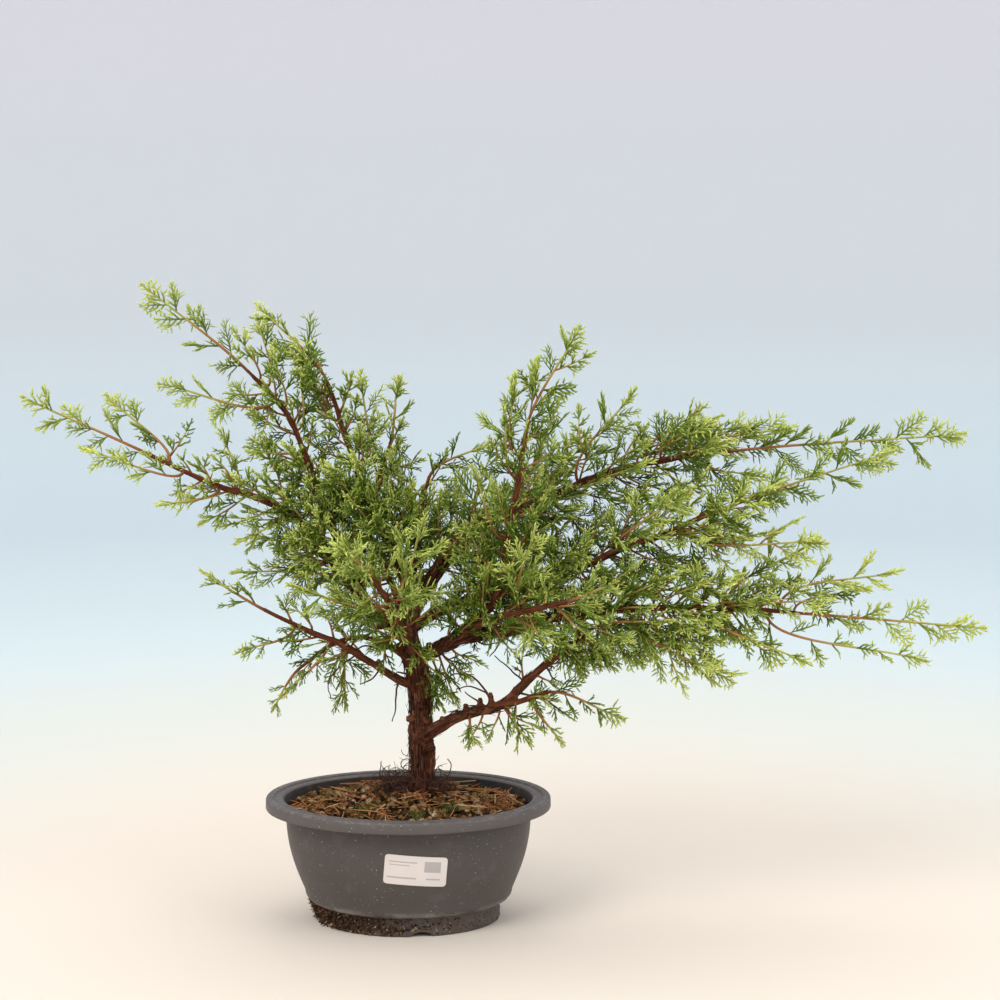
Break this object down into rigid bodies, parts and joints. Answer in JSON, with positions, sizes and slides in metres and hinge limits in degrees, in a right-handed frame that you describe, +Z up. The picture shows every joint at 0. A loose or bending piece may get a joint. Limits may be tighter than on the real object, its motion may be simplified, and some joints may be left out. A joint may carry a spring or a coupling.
{
  "type": "bonsai tree in a pot",
  "caption": "Wide-spreading juniper bonsai with a short upright trunk and long leafy limbs, growing in a soil-filled oval plastic pot that stands on its foot ring.",
  "frame": {"origin": "middle of the whole plant's bounding box, on the surface that the pot stands on; the pot's own axis is 0.075 m to -X and 0.007 m to -Y of it", "axes": "+X to the right along the long limbs and the pot's length, +Y to the back, +Z up; the label faces -Y"},
  "size_m": [0.7344, 0.2872, 0.5071],
  "materials": {
    "pot_plastic": "matte",
    "label_paper": "matte",
    "soil_granules": "matte",
    "bark": "matte",
    "juniper_leaf": "matte"
  },
  "bodies": {
    "root": {"label": "label_paper", "pot": "pot_plastic", "shoot_back_left_end": "juniper_leaf", "shoot_back_left_side": "juniper_leaf", "shoot_back_right_end": "juniper_leaf", "shoot_back_right_side": "juniper_leaf", "shoot_crown_left_end": "juniper_leaf", "shoot_crown_left_front": "juniper_leaf", "shoot_crown_left_low": "juniper_leaf", "shoot_crown_left_right": "juniper_leaf", "shoot_crown_left_side": "juniper_leaf", "shoot_far_left_end": "juniper_leaf", "shoot_far_left_top": "juniper_leaf", "shoot_far_left_under": "juniper_leaf", "shoot_front_left_end": "juniper_leaf", "shoot_front_left_side": "juniper_leaf", "shoot_front_left_top": "juniper_leaf", "shoot_front_right_end": "juniper_leaf", "shoot_front_right_top": "juniper_leaf", "shoot_left_high": "juniper_leaf", "shoot_left_inner": "juniper_leaf", "shoot_left_middle": "juniper_leaf", "shoot_left_outer": "juniper_leaf", "shoot_lower_left_end": "juniper_leaf", "shoot_lower_left_hanging": "juniper_leaf", "shoot_lower_left_under": "juniper_leaf", "shoot_lower_right_end": "juniper_leaf", "shoot_lower_right_fork_end": "juniper_leaf", "shoot_lower_right_inner": "juniper_leaf", "shoot_lower_right_under": "juniper_leaf", "shoot_middle_right_back": "juniper_leaf", "shoot_middle_right_end": "juniper_leaf", "shoot_middle_right_inner": "juniper_leaf", "shoot_middle_right_outer_top": "juniper_leaf", "shoot_middle_right_outer_under": "juniper_leaf", "shoot_middle_right_top": "juniper_leaf", "shoot_middle_right_under": "juniper_leaf", "shoot_pale_back_end": "juniper_leaf", "shoot_pale_centre_end": "juniper_leaf", "shoot_second_right_back": "juniper_leaf", "shoot_second_right_end": "juniper_leaf", "shoot_second_right_front": "juniper_leaf", "shoot_second_right_under": "juniper_leaf", "shoot_small_left_end": "juniper_leaf", "shoot_small_left_hanging": "juniper_leaf", "shoot_upper_left_back": "juniper_leaf", "shoot_upper_left_end": "juniper_leaf", "shoot_upper_left_side": "juniper_leaf", "shoot_upper_left_under": "juniper_leaf", "shoot_upper_right_end": "juniper_leaf", "shoot_upper_right_low": "juniper_leaf", "shoot_upper_right_middle": "juniper_leaf", "shoot_upper_right_outer": "juniper_leaf", "shoot_upper_right_top": "juniper_leaf", "shoot_upright_end": "juniper_leaf", "shoot_upright_left": "juniper_leaf", "shoot_upright_low_left": "juniper_leaf", "shoot_upright_right": "juniper_leaf", "soil": "soil_granules", "trunk_and_limbs": "bark"}
  },
  "joints": []
}
